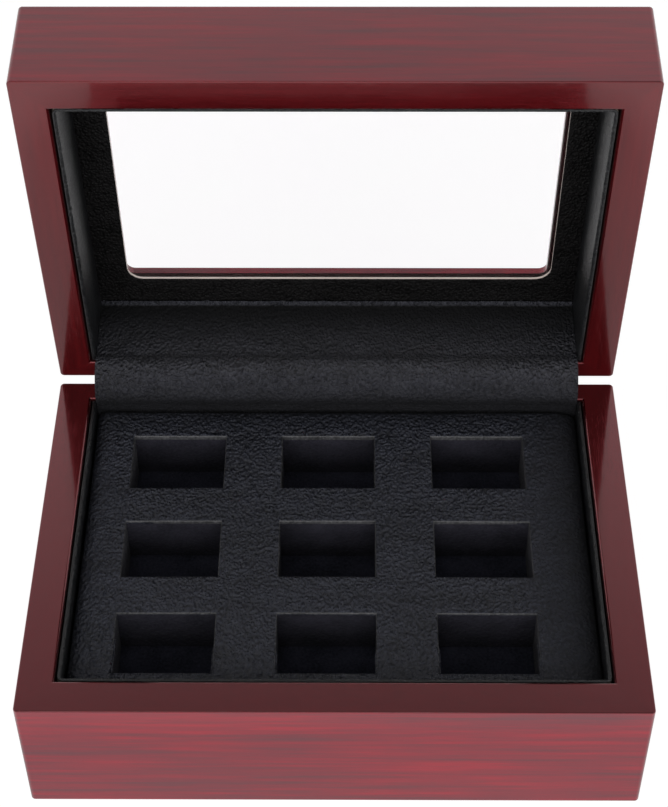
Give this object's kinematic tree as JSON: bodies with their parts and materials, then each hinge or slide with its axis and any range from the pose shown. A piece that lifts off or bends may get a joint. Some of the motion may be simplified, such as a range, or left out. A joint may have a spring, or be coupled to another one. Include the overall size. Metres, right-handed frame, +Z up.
{
  "type": "ring display box",
  "caption": "Lacquered wooden ring box whose glass-topped lid stands open on rear stop hinges, with a leatherette-lined inside and a padded insert with rectangular ring slots.",
  "frame": {"origin": "centre of the underside, on the felt that the box rests on", "axes": "+Z up, -Y towards the front, from which the lid opens, +X to the right seen from the front"},
  "size_m": [0.21, 0.1887, 0.209],
  "materials": {
    "lacquered_wood": "red-brown rosewood grain under high-gloss lacquer",
    "raw_board": "plain fibre board, seen from nowhere",
    "felt": "black pressed felt",
    "liner_card": "grey board, covered by the leatherette",
    "leatherette": "pebbled black leatherette, satin",
    "foam": "charcoal foam, cut faces",
    "velvet_card": "near-black flocked card",
    "hinge_brass": "polished brass plate",
    "pane": "clear float glass",
    "mat_card": "cream card, only its cut edge shows"
  },
  "bodies": {
    "base": {"base_front_wall": "lacquered_wood", "base_back_wall": "lacquered_wood", "base_left_wall": "lacquered_wood", "base_right_wall": "lacquered_wood", "base_floor_panel": "raw_board", "underside_felt": "felt", "base_liner_card": "liner_card", "base_liner_leather": "leatherette", "riser_foam": "foam", "slot_floor_card": "velvet_card", "cushion_foam": "foam", "cushion_leather": "leatherette", "left_hinge_base_leaf": "hinge_brass", "right_hinge_base_leaf": "hinge_brass", "left_hinge_pin": "hinge_brass", "right_hinge_pin": "hinge_brass", "hinge_base_screws": "hinge_brass", "hinge_flap": "leatherette"},
    "lid": {"lid_front_wall": "lacquered_wood", "lid_back_wall": "lacquered_wood", "lid_left_wall": "lacquered_wood", "lid_right_wall": "lacquered_wood", "lid_top_panel": "lacquered_wood", "glass_pane": "pane", "window_mat_card": "mat_card", "window_mat_leather": "leatherette", "lid_liner_card": "liner_card", "lid_liner_leather": "leatherette", "left_hinge_lid_leaf": "hinge_brass", "right_hinge_lid_leaf": "hinge_brass", "hinge_lid_screws": "hinge_brass"}
  },
  "joints": [
    {"name": "lid_hinge", "type": "hinge", "parent": "base", "child": "lid", "pos_m": [0, 0.077, 0.05395], "axis": [1, 0, 0], "range_deg": [0, 84], "deforming": ["hinge_flap"]}
  ]
}
